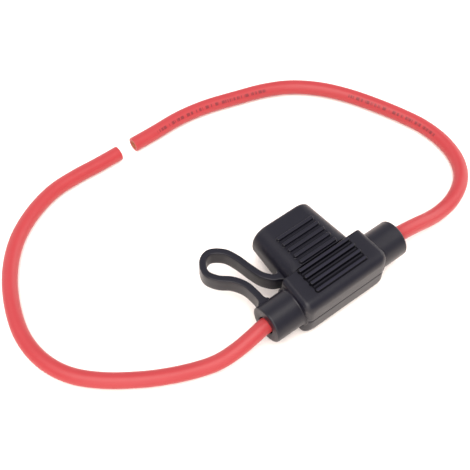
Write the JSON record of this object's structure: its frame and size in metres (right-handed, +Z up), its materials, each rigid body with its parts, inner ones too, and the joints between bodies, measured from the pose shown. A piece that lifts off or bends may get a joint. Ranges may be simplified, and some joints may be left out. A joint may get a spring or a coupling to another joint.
{
  "type": "inline blade fuse holder with leads",
  "caption": "Black inline holder for a mini blade fuse, with a pull-off cap on a looped retaining strap and two red wire leads laid in a ring.",
  "frame": {"origin": "on the surface it rests on, straight below the middle of the two necks' common axis, in the plane of the crests of the ribs on the housing's back face", "axes": "+X along the necks towards the right lead, +Y from the housing towards the cap, +Z up from the back face"},
  "size_m": [0.1086, 0.065, 0.0119],
  "materials": {
    "black_moulding": "satin soft moulding",
    "red_insulation": "satin wire insulation",
    "copper": "bare strands, cut",
    "tinned_brass": "tin plated",
    "fuse_plastic": "clear yellow",
    "fuse_zinc": "bright stamping"
  },
  "bodies": {
    "holder": {"housing": "black_moulding", "retaining_strap": "black_moulding", "left_lead": "red_insulation", "right_lead": "red_insulation", "left_lead_strands": "copper", "right_lead_strands": "copper", "left_crimped_strands": "copper", "right_crimped_strands": "copper", "left_terminal": "tinned_brass", "right_terminal": "tinned_brass", "fuse_body": "fuse_plastic", "fuse_element": "fuse_zinc"},
    "cap_body": {"cap": "black_moulding"}
  },
  "joints": [
    {"name": "cap_slide", "type": "slide", "parent": "holder", "child": "cap_body", "axis": [0, 1, 0], "range_m": [0, 0.016], "deforming": ["retaining_strap"]}
  ]
}
